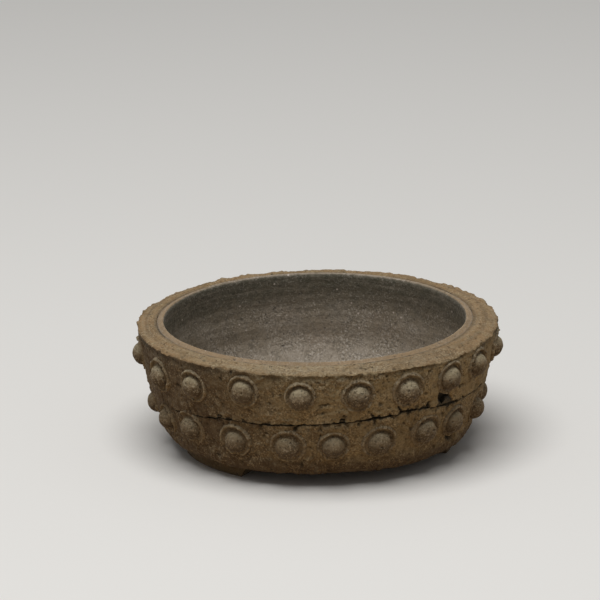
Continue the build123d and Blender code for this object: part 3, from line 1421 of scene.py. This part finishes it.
@dataclass
class LowerBand(SlabBand):
    """The lower slab band, which turns under the bowl at its bottom edge."""

    underside: float = 3.0
    turn_reach: float = 4.8
    turn_rise: float = 4.8
    turn_rows: int = 24
    under_rows: int = 5
    under_rough: float = 0.4
    base_radius: float = BASE_RADIUS
    shoulder_height: float = SHOULDER_HEIGHT
    back_rows: int = 5
    shoulder_rows: int = 2
    brink_drop: Span = (1.2, 0.5)
    brink_worn: Spots = Spots(3.0, -0.1, 0.4, 0.5)
    low_shade_top: float = 3.5
    low_shade_bottom: float = 0.8
    darkening_least: float = 0.2
    side_darkening: float = 1.2
    low_shade: float = 1.1

    def section(self) -> Section:
        """Half section, from behind the seam, down the wall and under.

        Returns:
            The half section, with the shares of its stretches.
        """
        inside = self.joint_radius + self.film
        high = SEAM_HEIGHT - self.seam_gap / 2
        head = self.face.place(high - self.edge_radius)
        hem = head[0] - self.edge_radius
        turn = self.face.place(self.underside + self.turn_rise)
        inner = turn[0] - self.turn_reach
        base = self.base_radius + self.film
        wall = {Share.ROUGH: 1.0, Share.WALL: 1.0}
        brink = {**wall, Share.ROUGH: self.edge_rough}
        under = {Share.ROUGH: self.under_rough}
        section = Section()
        section.add(run((inside, high), (hem, high), self.hem_rows), {Share.ROUGH: self.seam_rough})
        section.add(fillet((hem, head[1]), self.edge_radius, 90, 0, self.edge_rows), brink)
        section.add(run(head, turn, self.rows(head[1] - turn[1])), wall)
        section.add(arc((inner, turn[1]), (self.turn_reach, self.turn_rise), 0, -90, self.turn_rows), wall)
        section.add(run((inner, self.underside), (base, self.underside), self.under_rows), under)
        section.add(run((base, self.underside), (inside, self.shoulder_height), self.back_rows))
        section.add(run((inside, self.shoulder_height), (inside, high), self.shoulder_rows))
        return section

    def smooth(self, section: Section) -> ClaySkin:
        """The band before its surface is worked, askew as it is.

        Args:
            section: Its half section.

        Returns:
            The smooth band.
        """
        radius, height = section.columns()
        turn = self.face.bottom[1]
        lift = np.clip((height - turn) / (SEAM_HEIGHT - turn), 0.0, None) * self.seam_lift()
        shift = lift * self.face.slope() * section.share(Share.WALL)
        return ClaySkin(turned(radius + shift, height + lift, self.angles()), closed_rows=True)

    def build(self, material: bpy.types.Material) -> bpy.types.Object:
        """Models the band and sets it in place.

        Args:
            material: Its finish.

        Returns:
            The finished piece.
        """
        section = self.section()
        height, wall = section.columns()[1], section.share(Share.WALL)
        skin = self.smooth(section)
        dug, fine = self.work(skin, section, np.zeros_like(height))
        below = SEAM_HEIGHT - height
        # Painted shade along the seam
        behind = ease(below, *self.seam_shade)
        brink = ease(below, *self.brink_drop) * (1 - behind)
        # Painted shade towards the bottom, where the wall turns under the bowl
        low = ease(height, self.face.bottom[1] + self.low_shade_top, self.underside + self.low_shade_bottom)
        soot = self.darkening_least + self.side_darkening * self.hand.soot(self.angles()) + self.low_shade * low
        skin.mark(Mark.HOLLOW_SHADE, self.hollow(dug, fine) + behind)
        skin.mark(Mark.WORN_AND_LIT, self.worn(fine) + brink * self.grain.spots(skin.places, self.brink_worn))
        skin.mark(Mark.SHADE_AND_DARKENING, wall * soot)
        return settle(skin.piece("lower_band_clay"), self.node, material)


@dataclass
class ThrownBowl:
    """The wheel-thrown bowl: smooth inside, darker towards the lip by painted shade, rounded lip, turned
    underside.
    """

    joint_radius: float
    lip_height: float
    rim_height: float
    underside: float
    hand: HandBuild
    grain: Grain
    node: str = "inner_bowl"
    segments: int = 720
    mouth_radius: float = 37.5
    floor_height: float = 6.5
    heel_rise: float = 11.0
    heel_reach: float = 13.5
    belly: float = 0.4
    lip_round: Place = (0.7, 1.0)
    joint_round: Place = (0.55, 0.1)
    shoulder_height: float = SHOULDER_HEIGHT
    base_radius: float = BASE_RADIUS
    hub_radius: float = 0.6
    floor_rows: int = 40
    heel_rows: int = 44
    wall_rows: int = 34
    lip_rows: int = 10
    rim_rows: int = 5
    joint_rows: int = 4
    back_rows: int = 6
    tuck_rows: int = 5
    under_rows: int = 44
    wheel_turn: float = 7.0
    ring_pitch: float = 2.3
    ring_height: float = 0.02
    ring_waver: float = 4.0
    ring_waver_size: float = 6.0
    drag: Lumps = Lumps((2.2, 0.9), (0.03, 0.03))
    lumps: Lumps = Lumps((9.0, 2.5, 1.1, 0.7), (0.07, 0.03, 0.03, 0.03))
    pits: Spots = Spots(1.1, 0.55, 0.85, 0.16)
    facing_down: Span = (-0.8, -0.95)
    facing_up: Span = (0.4, 0.9)
    back: Span = (0.2, 0.9)
    back_sheen_grey: float = 0.75
    back_sheen: float = 0.8
    calm_rim: float = 0.8
    groove_reach: float = 0.8
    groove_shade: float = 0.5
    pit_step: Span = (0.05, 0.16)
    pit_shade: float = 0.7
    under_shade: float = 0.3
    ring_step: Span = (0.03, 0.08)
    ring_worn: float = 0.4
    floor_step: Span = (21.0, 11.0)
    floor_light: float = 0.5
    upper_shade_step: Span = (18.0, 32.0)
    left_shade_side: Span = (0.1, 0.9)
    left_shade: float = 0.22

    def section(self) -> Section:
        """Half section, from the middle of the floor up, over the lip, down outside and under.

        Returns:
            The half section, with the shares of its stretches.
        """
        mouth, floor, base = self.mouth_radius, self.floor_height, self.underside
        heel = (mouth - self.heel_reach, floor + self.heel_rise)
        lip = (mouth + self.lip_round[0], self.lip_height - self.lip_round[1])
        joint = (self.joint_radius - self.joint_round[0], self.rim_height)
        bend = self.rim_height - self.joint_round[1]
        shoulder = (self.joint_radius, self.shoulder_height)
        upright = run((mouth, heel[1]), (mouth, lip[1]), self.wall_rows)
        upright[:, 0] += self.belly * np.sin(np.linspace(0, pi, self.wall_rows)) ** 2
        shown = {Share.SHOWN: 1.0}
        rim = {**shown, Share.RIM: 1.0}
        section = Section()
        section.add(run((self.hub_radius, floor), (heel[0], floor), self.floor_rows), shown)
        section.add(arc(heel, (self.heel_reach, self.heel_rise), -90, 0, self.heel_rows), shown)
        section.add(upright, shown)
        section.add(arc(lip, self.lip_round, 180, 90, self.lip_rows), rim)
        section.add(run((lip[0], self.lip_height), joint, self.rim_rows), rim)
        section.add(arc((joint[0], bend), self.joint_round, 90, 0, self.joint_rows), rim)
        section.add(run((self.joint_radius, bend), shoulder, self.back_rows))
        section.add(run(shoulder, (self.base_radius, base), self.tuck_rows))
        section.add(run((self.base_radius, base), (self.hub_radius, base), self.under_rows))
        return section

    def wheel(self, radius: Array, height: Array, angles: Array) -> Array:
        """Height of the rings and the drag marks that throwing left, along the half section.

        Args:
            radius: Radius of each row, in a column.
            height: Height of each row, in a column.
            angles: Angles in radians from the front.

        Returns:
            Heights in millimetres, by row and angle.
        """
        steps = np.hypot(np.diff(radius, axis=0), np.diff(height, axis=0))
        along = np.concatenate([[[0.0]], np.cumsum(steps, axis=0)])
        drawn = drawn_out(angles, self.wheel_turn, along)
        waver = self.ring_waver * self.grain.at(drawn, self.ring_waver_size)
        rings = self.ring_height * np.sin(tau * along / self.ring_pitch + waver)
        return rings + self.grain.lumps(drawn, self.drag)

    def build(self, material: bpy.types.Material) -> bpy.types.Object:
        """Models the bowl and sets it in place.

        Args:
            material: Its finish.

        Returns:
            The finished piece.
        """
        section = self.section()
        radius, height = section.columns()
        angles = round_the_axis(self.segments)
        lift = self.hand.rim_lift(angles) * self.hand.at_mouth(height)
        out = radius + self.hand.mouth_shift(angles, height)
        skin = ClaySkin(turned(out, height + lift, angles), closed_rows=False)
        facing = skin.outward()[..., 2]
        wheel = self.wheel(radius, height, angles)
        pits = self.grain.spots(skin.places, self.pits)
        below = ease(facing, *self.facing_down)
        shown, rim = section.share(Share.SHOWN), section.share(Share.RIM)
        skin.push((wheel + self.grain.lumps(skin.places, self.lumps) - pits) * np.maximum(shown, below))
        crown = rim * ease(facing, *self.facing_up)
        # Lip greyer at the back: painted sheen
        back = ease(-np.cos(angles), *self.back)
        # Painted shade in the joint groove, in pits and on faces turned down
        groove = rim * ease(radius, self.joint_radius - self.groove_reach, self.joint_radius)
        groove = groove * self.hand.groove_left(angles)
        hollow = self.groove_shade * groove + self.pit_shade * ease(pits, *self.pit_step)
        worn = self.ring_worn * ease(wheel, *self.ring_step) + self.back_sheen * crown * back
        # Painted shade on the inside towards the lip and on its left side
        dimmed = ease(height, *self.upper_shade_step) + self.left_shade * ease(-np.sin(angles), *self.left_shade_side)
        skin.mark(Mark.HOLLOW_SHADE, hollow + self.under_shade * below)
        # Lighter towards the floor of the inside: painted light
        skin.mark(Mark.WORN_AND_LIT, worn + self.floor_light * ease(height, *self.floor_step))
        skin.mark(Mark.PALE, crown * (1 - self.back_sheen_grey * back))
        skin.mark(Mark.SHADE_AND_DARKENING, dimmed * (1 - crown))
        skin.mark(Mark.WHEEL, shown * (1 - self.calm_rim * rim))
        return settle(skin.piece("inner_bowl_clay"), self.node, material)


@dataclass(frozen=True)
class Press:
    """How one stud came out under the thumb."""

    size: float
    tall: float
    wide: float
    right: float
    up: float
    squeeze: float
    splay: float
    opening: float

    # How far the draws spread: shares, millimetres and degrees
    SIZE_SPREAD = (0.03, 0.04, 0.02)
    SHIFT_SPREAD = 0.1
    LIMITS = (-1.6, 1.6)
    SQUEEZE = (0.65, 1.2)
    SPLAY = (1.0, 1.13)
    OPEN_ANGLE = 62.0
    OPEN_SPREAD = (-28.0, 28.0)

    @classmethod
    def drawn(cls, draw: np.random.Generator) -> Self:
        """Draws one at random.

        Args:
            draw: Where the random numbers come from.

        Returns:
            The press of one stud.
        """
        sizes = 1 + np.array(cls.SIZE_SPREAD) * draw.normal(size=3).clip(*cls.LIMITS)
        shifts = cls.SHIFT_SPREAD * draw.normal(size=2).clip(*cls.LIMITS)
        squeeze = draw.uniform(*cls.SQUEEZE)
        splay = draw.uniform(*cls.SPLAY)
        opening = radians(cls.OPEN_ANGLE + draw.uniform(*cls.OPEN_SPREAD))
        return cls(*sizes, *shifts, squeeze, splay, opening)


@dataclass
class Stud:
    """A pressed-on stud: a dome in a moat, inside a thin raised ring."""

    seat: StudSeat
    face: WallFace
    grain: Grain
    press: Press
    ash_and_highlight: float
    segments: int = 96
    skirt_radius: float = 4.15
    sunk: float = 0.8
    hub_radius: float = 0.4
    dome_rows: int = 20
    moat_rows: int = 2
    ring_rows: int = 7
    skirt_rows: int = 5
    hem_rows: int = 1
    under_rows: int = 4
    ring_radius: float = 3.66
    ring_height: float = 0.52
    ring_round: float = 0.26
    ring_arc: Span = (180.0, 20.0)
    ring_lean: float = 0.12
    moat_radius: float = 3.12
    moat_depth: float = 0.12
    moat_width: float = 0.2
    moat_top: float = 0.2
    moat_fill: float = 0.32
    moat_open: float = 0.45
    moat_power: float = 1.5
    dome_radius: float = 2.86
    dome_height: float = 2.5
    dome_arc: Span = (87.0, 4.0)
    dome_foot: float = 0.1
    press_left: float = 0.12
    press_down: float = 0.26
    beads: Lumps = Lumps((2.4, 0.9, 0.55), (0.75, 0.75, 0.6))
    bead_shift: float = 31.0
    bead_height: float = 0.34
    bead_splay: float = 0.03
    open_splay: float = 0.05
    lumps: Lumps = Lumps((3.0, 1.4, 0.75), (0.10, 0.055, 0.04))
    pits: Spots = Spots(0.9, 0.45, 0.8, 0.2)
    bedded: float = 0.6
    moat_shadow: float = 0.4
    pit_step: Span = (0.06, 0.2)
    pit_shade: float = 0.7
    crest_wear_and_light: float = 0.3
    bead_step: Span = (-0.1, 0.45)
    bead_wear_and_light: float = 0.7
    pale_sky: Span = (0.05, 0.9)
    pale_rise: Span = (0.1, 0.8)
    shade_facing: Span = (0.22, -0.45)
    dome_underside_shade: float = 0.85

    # How far each stretch goes with the dome when it is pressed aside
    DOME = 1.0
    DOME_FOOT = 0.85
    MOAT = 0.7
    BANK = 0.5
    RING = 0.35
    SLOPE = 0.15

    def section(self) -> Section:
        """Half section from the crown of the dome out to the skirt and in under it.

        Returns:
            The half section, with the shares of its stretches.
        """
        crest = (self.ring_radius, self.ring_height - self.ring_round)
        moat = (self.moat_radius, -self.moat_depth)
        skirt = (self.skirt_radius, -self.sunk / 2)
        hem = (self.skirt_radius, -self.sunk)
        dome = arc((0.0, 0.0), (self.dome_radius, self.dome_height), *self.dome_arc, self.dome_rows)
        drop = run((self.dome_radius, self.dome_foot), moat, self.moat_rows)
        bank = run(moat, (crest[0] - self.ring_round, crest[1]), self.moat_rows)
        slope = run((crest[0] + self.ring_round, crest[1]), skirt, self.skirt_rows)
        section = Section()
        section.add(dome, {Share.DOME: self.DOME})
        section.add(drop, {Share.DOME: self.DOME_FOOT})
        section.add(np.array([moat]), {Share.DOME: self.MOAT})
        section.add(bank, {Share.DOME: self.BANK})
        section.add(fillet(crest, self.ring_round, *self.ring_arc, self.ring_rows), {Share.DOME: self.RING})
        section.add(slope, {Share.DOME: self.SLOPE})
        section.add(run(skirt, hem, self.hem_rows))
        section.add(run(hem, (self.hub_radius, -self.sunk), self.under_rows))
        return section

    def upper(self, angles: Array) -> Array:
        """How near angles are to the side where the moat lies open."""
        return (1 + np.cos(angles - self.press.opening)) / 2

    def broken(self, angles: Array) -> Array:
        """How far the beads of the broken ring stand up at angles."""
        circle = np.stack([np.cos(angles), np.sin(angles), np.zeros_like(angles)], axis=-1)
        return self.grain.lumps(circle * self.ring_radius + self.seat.angle * self.bead_shift, self.beads)

    def crest(self, radius: Array) -> Array:
        """How near a radius is to the crest of the ring."""
        inside = ease(radius, self.moat_radius, self.ring_radius)
        return inside * ease(radius, self.skirt_radius, self.ring_radius)

    def moat(self, radius: Array, height: Array) -> Array:
        """How near a place of the half section is to the bottom of the moat."""
        return swell(radius, self.moat_radius, self.moat_width) * (height < self.moat_top)

    def shape(self, section: Section, angles: Array) -> Array:
        """Shape of the stud as it was pressed on, before its surface is worked.

        Args:
            section: Its half section.
            angles: Angles round its own axis, in radians.

        Returns:
            Places by row and angle, with X across, Y up the wall and Z outwards.
        """
        radius, height = section.columns()
        dome, press = section.share(Share.DOME), self.press
        upper, beads = self.upper(angles), self.broken(angles)
        rise = self.ring_height * (press.squeeze - 1) + self.bead_height * beads
        rise = rise + self.ring_lean * (upper - 0.5)
        fill = self.moat_fill - self.moat_open * upper**self.moat_power
        loose = press.splay + self.bead_splay * beads + self.open_splay * upper**2 * (dome > 0)
        out = radius * press.size * np.where(dome >= self.MOAT, 1.0, loose)
        z = height * np.where(dome == self.DOME, press.tall, 1.0)
        z = z + self.crest(radius) * rise + self.moat(radius, height) * fill
        x = out * np.cos(angles) * press.wide + (press.right - self.press_left) * dome
        y = out * np.sin(angles) + (press.up - self.press_down) * dome
        return np.stack(np.broadcast_arrays(x, y, z), axis=-1)

    def build(self, material: bpy.types.Material) -> bpy.types.Object:
        """Models the stud on its seat.

        Args:
            material: Its finish.

        Returns:
            The finished piece.
        """
        section = self.section()
        radius, height = section.columns()
        angles = np.linspace(0.0, tau, self.segments, endpoint=False)
        shape = self.shape(section, angles)
        rise = shape[..., 2]
        seat = np.array(self.face.seat(self.seat.angle, self.seat.height))
        skin = ClaySkin(shape @ seat[:3, :3].T + seat[:3, 3], closed_rows=False)
        pits = self.grain.spots(skin.places, self.pits)
        shown = rise > -self.sunk * self.bedded
        skin.push((self.grain.lumps(skin.places, self.lumps) - pits) * shown)
        sky = skin.outward()[..., 2]
        top = section.share(Share.DOME) == self.DOME
        moat = self.moat(radius, height) * self.upper(angles) ** 2
        beads = ease(self.broken(angles), *self.bead_step)
        # Painted shadow in the upper side of the moat, and painted shade in pits
        skin.mark(Mark.HOLLOW_SHADE, self.moat_shadow * moat + self.pit_shade * ease(pits, *self.pit_step))
        # Crest and beads of the ring lighter: wear, and painted highlight
        skin.mark(Mark.WORN_AND_LIT, self.crest(radius) * (self.crest_wear_and_light + self.bead_wear_and_light * beads))
        # Dome tops paler: ash, and painted highlight
        skin.mark(Mark.PALE, self.ash_and_highlight * top * ease(sky, *self.pale_sky) * ease(rise, *self.pale_rise))
        # Painted shade on the undersides of the domes
        skin.mark(Mark.SHADE_AND_DARKENING, self.dome_underside_shade * top * ease(sky, *self.shade_facing))
        return settle(skin.piece(f"{self.seat.node}_clay"), self.seat.node, material)


@dataclass
class Foot:
    """One length of the cut foot ring, with raked ends."""

    node: str
    angle: float
    grain: Grain
    outer: float = 34.85
    width: float = 8.0
    height: float = 3.0
    taper: float = 0.9
    span: float = 46.0
    rake: float = 35.0
    corner: float = 0.5
    crease: float = 55.0
    segments: int = 100
    top_rows: int = 10
    side_rows: int = 9
    corner_rows: int = 5
    sole_rows: int = 14
    lumps: Lumps = Lumps((4.0, 1.5, 0.8), (0.16, 0.09, 0.06))
    flat_sole: float = 0.5
    flat_top: float = 0.4
    worn_step: Span = (0.6, 0.1)
    worn_share: float = 0.6
    dip_shade: Span = (0.1, 0.25)

    def section(self) -> Section:
        """Section of the ring: across the top, down outside, under it and up inside.

        Returns:
            The section, without shares.
        """
        inner = self.outer - self.width
        low_outer, low_inner = self.outer - self.taper, inner + self.taper
        heel, toe = (low_outer - self.corner, self.corner), (low_inner + self.corner, self.corner)
        section = Section()
        section.add(run((inner, self.height), (self.outer, self.height), self.top_rows))
        section.add(run((self.outer, self.height), (low_outer, self.corner), self.side_rows))
        section.add(fillet(heel, self.corner, 0, -90, self.corner_rows))
        section.add(run((heel[0], 0.0), (toe[0], 0.0), self.sole_rows))
        section.add(fillet(toe, self.corner, 270, 180, self.corner_rows))
        section.add(run((low_inner, self.corner), (inner, self.height), self.side_rows))
        return section

    def build(self, material: bpy.types.Material) -> bpy.types.Object:
        """Models the length of foot ring and sets it in place.

        Args:
            material: Its finish.

        Returns:
            The finished piece.
        """
        radius, height = self.section().columns()
        back = tan(radians(self.rake)) * (self.height - height) / radius
        reach = radians(self.span / 2) - back
        angles = radians(self.angle) + np.linspace(-1.0, 1.0, self.segments) * reach
        skin = ClaySkin(turned(radius, height, angles), closed_rows=True, closed_around=False)
        lumps = self.grain.lumps(skin.places, self.lumps)
        free = ease(height, 0.0, self.flat_sole) * ease(height, self.height, self.height - self.flat_top)
        skin.push(lumps * free)
        skin.mark(Mark.WORN_AND_LIT, self.worn_share * ease(height, *self.worn_step))
        # Painted shade in the dips of the lumps
        skin.mark(Mark.HOLLOW_SHADE, ease(-lumps, *self.dip_shade))
        piece = skin.piece(f"{self.node}_clay")
        piece.data.set_sharp_from_angle(angle=radians(self.crease))
        return settle(piece, self.node, material)


@dataclass(frozen=True)
class PaleFloor:
    """Finish of the floor: pale to see, a browner bounce on the bowl, and clear from below."""

    name: str = "pale_floor"
    shown: Colour = (0.80, 0.785, 0.755)
    bounce: Colour = (0.46, 0.30, 0.155)

    def material(self) -> bpy.types.Material:
        """Builds the finish as a node material.

        Returns:
            The material.
        """
        material = bpy.data.materials.new(self.name)
        sheet = NodeSheet(material)
        shown = sheet.add("ShaderNodeBsdfDiffuse", {"Color": rgba(self.shown)}).outputs[0]
        bounce = sheet.add("ShaderNodeBsdfDiffuse", {"Color": rgba(self.bounce)}).outputs[0]
        front = sheet.mix(sheet.seen(), bounce, shown)
        behind = sheet.add("ShaderNodeNewGeometry").outputs["Backfacing"]
        clear = sheet.add("ShaderNodeBsdfTransparent").outputs[0]
        sheet.add("ShaderNodeOutputMaterial", {"Surface": sheet.mix(behind, front, clear)})
        return material


@dataclass
class Studio:
    """Pale floor, soft light from above and the camera of the photograph's angle."""

    floor_size: float = 8.0
    floor_finish: PaleFloor = PaleFloor()
    sky_colour: Colour = (0.90, 0.89, 0.87)
    sky_strength: float = 1.0
    room_colour: Colour = (1.0, 1.0, 1.0)
    room_strength: float = 0.2
    key_power: float = 9.2
    key_size: float = 0.9
    key_place: tuple[float, float, float] = (-0.10, -0.26, 1.0)
    lens: float = 276.0
    sensor: float = 36.0
    distance: float = 1.147
    elevation: float = 16.84
    roll: float = -0.65
    aim_height: float = 31.5
    aim_left: float = 4.24
    aim_up: float = 5.16

    def floor(self) -> None:
        """Lays the floor under the bowl."""
        half = self.floor_size / 2
        corners = [(-half, -half, 0), (half, -half, 0), (half, half, 0), (-half, half, 0)]
        mesh = bpy.data.meshes.new("floor")
        mesh.from_pydata(corners, [], [(0, 1, 2, 3)])
        mesh.materials.append(self.floor_finish.material())
        floor = linked("floor", mesh)

    def light(self) -> None:
        """Hangs one large soft lamp over the bowl, in an evenly lit room."""
        lamp = bpy.data.lights.new("key", "AREA")
        lamp.shape = "DISK"
        lamp.size = self.key_size
        lamp.energy = self.key_power
        key = linked("key", lamp)
        key.location = self.key_place
        key.rotation_mode = "QUATERNION"
        key.rotation_quaternion = (-Vector(self.key_place)).to_track_quat("-Z", "Y")
        world = bpy.data.worlds.new("room")
        sheet = NodeSheet(world)
        room = {"Color": rgba(self.room_colour), "Strength": self.room_strength}
        sky = {"Color": rgba(self.sky_colour), "Strength": self.sky_strength}
        lit, shown = (sheet.add("ShaderNodeBackground", feeds).outputs[0] for feeds in (room, sky))
        sheet.add("ShaderNodeOutputWorld", {"Surface": sheet.mix(sheet.seen(), lit, shown)})
        bpy.context.scene.world = world
        bpy.context.scene.view_settings.view_transform = "Standard"

    def camera(self) -> None:
        """Sets up the camera at the photograph's angle."""
        tilt = radians(self.elevation)
        middle = Vector((0.0, 0.0, self.aim_height)) * MM
        back = Vector((0.0, -cos(tilt), sin(tilt)))
        up = Vector((0.0, sin(tilt), cos(tilt)))
        aim = middle + Vector((-self.aim_left * MM, 0.0, 0.0)) + up * self.aim_up * MM
        place = middle + back * self.distance
        turn = (aim - place).to_track_quat("-Z", "Y").to_matrix().to_4x4()
        data = bpy.data.cameras.new("view")
        data.lens = self.lens
        data.sensor_width = self.sensor
        camera = linked("view", data)
        camera.matrix_world = Matrix.Translation(place) @ turn @ Matrix.Rotation(radians(self.roll), 4, "Z")
        bpy.context.scene.camera = camera


UPPER_FACE = WallFace(top=(45.15, 31.8), bottom=(42.35, SEAM_HEIGHT))
LOWER_FACE = WallFace(top=(41.95, SEAM_HEIGHT), bottom=(38.45, 5.8))
# Pits, cracks and torn places in the walls: angle, height, width, tallness, depth and lean
UPPER_WALL_NICKS = (
    (44.1, 22.0, 1.3, 4.0, 2.0, 4.0),
    (45.9, 20.5, 4.2, 3.2, 2.1, -24.0),
    (48.0, 19.1, 4.0, 2.2, 2.1, -18.0),
    (25.9, 22.7, 0.9, 1.8, 0.7, 20.0),
    (27.0, 21.3, 1.0, 2.2, 0.9, 25.0),
    (28.4, 19.8, 1.1, 2.2, 1.0, 25.0),
    (8.1, 18.9, 1.2, 1.6, 0.9, 0.0),
    (18.2, 19.2, 1.0, 1.6, 0.8, 10.0),
    (38.8, 19.7, 1.3, 1.8, 0.9, 0.0),
    (36.0, 30.4, 0.9, 0.9, 0.6, 0.0),
    (27.7, 29.6, 0.8, 0.8, 0.5, 0.0),
)
LOWER_WALL_NICKS = (
    (-19.6, 16.6, 0.7, 2.0, 0.6, -35.0),
    (-7.8, 16.6, 0.7, 2.4, 0.7, -40.0),
    (19.0, 17.6, 1.0, 1.8, 0.8, 20.0),
    (31.0, 18.6, 1.2, 1.6, 0.8, 0.0),
    (49.3, 17.5, 1.2, 1.8, 0.9, 0.0),
    (55.4, 8.6, 3.6, 2.4, 1.5, -20.0),
    (0.6, 14.5, 0.8, 0.8, 0.6, 0.0),
)
# Chips and pits in the rim, with the radius and height of each
RIM_NICKS = (
    Nick(-170.8, 44.6, 31.9, 2.0, 1.2, 0.7),
    Nick(-118.0, 44.4, 31.9, 1.4, 1.0, 0.6),
    Nick(-114.5, 44.6, 31.8, 1.8, 1.2, 0.8),
    Nick(-110.5, 44.2, 31.9, 1.2, 0.8, 0.5),
    Nick(-60.5, 43.7, 32.0, 0.8, 0.7, 0.45),
    Nick(-36.4, 42.7, 32.0, 1.0, 0.6, 0.5),
    Nick(-11.4, 39.9, 32.2, 1.1, 0.5, 0.35),
    Nick(19.3, 40.5, 32.2, 0.8, 0.5, 0.4),
    Nick(30.3, 43.8, 31.9, 1.0, 0.7, 0.6),
    Nick(59.3, 42.9, 32.0, 0.8, 0.6, 0.4),
)
# How far the tops of the studs are paled in each row, by ash and painted highlight
ASH_AND_HIGHLIGHT = {Row.UPPER: 1.0, Row.LOWER: 0.5}
FOOT_ANGLES = {"front_left_foot": -54.0, "right_foot": 90.0, "back_foot": 198.0}


def wall_nicks(hand: HandBuild) -> tuple[tuple[Nick, ...], tuple[Nick, ...]]:
    """Puts together the nicks of both bands, with bites to either side of their seam.

    Args:
        hand: The course of the seam.

    Returns:
        The nicks of the upper and of the lower band.
    """
    bites = np.random.default_rng(Seed.BITES.value)
    upper = RIM_NICKS + tuple(UPPER_FACE.nick(*nick) for nick in UPPER_WALL_NICKS)
    upper += Crumbs().nicks(UPPER_FACE, hand, bites)
    lower = tuple(LOWER_FACE.nick(*nick) for nick in LOWER_WALL_NICKS)
    lower += Crumbs(above=-Crumbs.above).nicks(LOWER_FACE, hand, bites)
    return upper, lower


def main() -> None:
    """Builds the bowl piece by piece, reports the pieces and sets up the studio round them."""
    logging.basicConfig(level=logging.INFO, format="%(message)s")
    bowl_low, bowl_high = node_box("inner_bowl")
    joint_radius, lip_height = bowl_high.x, bowl_high.z
    rim_height = lip_height - LIP_FALL
    hand = HandBuild()
    bowl = ThrownBowl(joint_radius, lip_height, rim_height, bowl_low.z, hand, Grain(Seed.BOWL))
    pieces = [bowl.build(CHARCOAL.material())]
    slab = BROWN_SLAB.material()
    upper_nicks, lower_nicks = wall_nicks(hand)
    upper_grain, lower_grain = Grain(Seed.UPPER_BAND), Grain(Seed.LOWER_BAND)
    upper = UpperBand(
        "upper_band", Row.UPPER, UPPER_FACE, joint_radius, hand, upper_grain, upper_nicks,
        rim_height=rim_height,
    )
    lower = LowerBand("lower_band", Row.LOWER, LOWER_FACE, joint_radius, hand, lower_grain, lower_nicks)
    pieces += [upper.build(slab), lower.build(slab)]
    stud_clay = GREY_STUD.material()
    draw = np.random.default_rng(Seed.PRESS.value)
    for row, face in ((Row.UPPER, UPPER_FACE), (Row.LOWER, LOWER_FACE)):
        for seat in stud_seats(row, face):
            stud = Stud(seat, face, Grain(Seed.STUD), Press.drawn(draw), ASH_AND_HIGHLIGHT[row])
            pieces.append(stud.build(stud_clay))
    foot_clay = SHADED_FOOT.material()
    for node, angle in FOOT_ANGLES.items():
        pieces.append(Foot(node, angle, Grain(Seed.FOOT)).build(foot_clay))
    for piece in pieces:
        log.info("%s: %d faces", piece.name, len(piece.data.polygons))
    studio = Studio()
    studio.floor()
    studio.light()
    studio.camera()


if __name__ == "__main__":
    main()
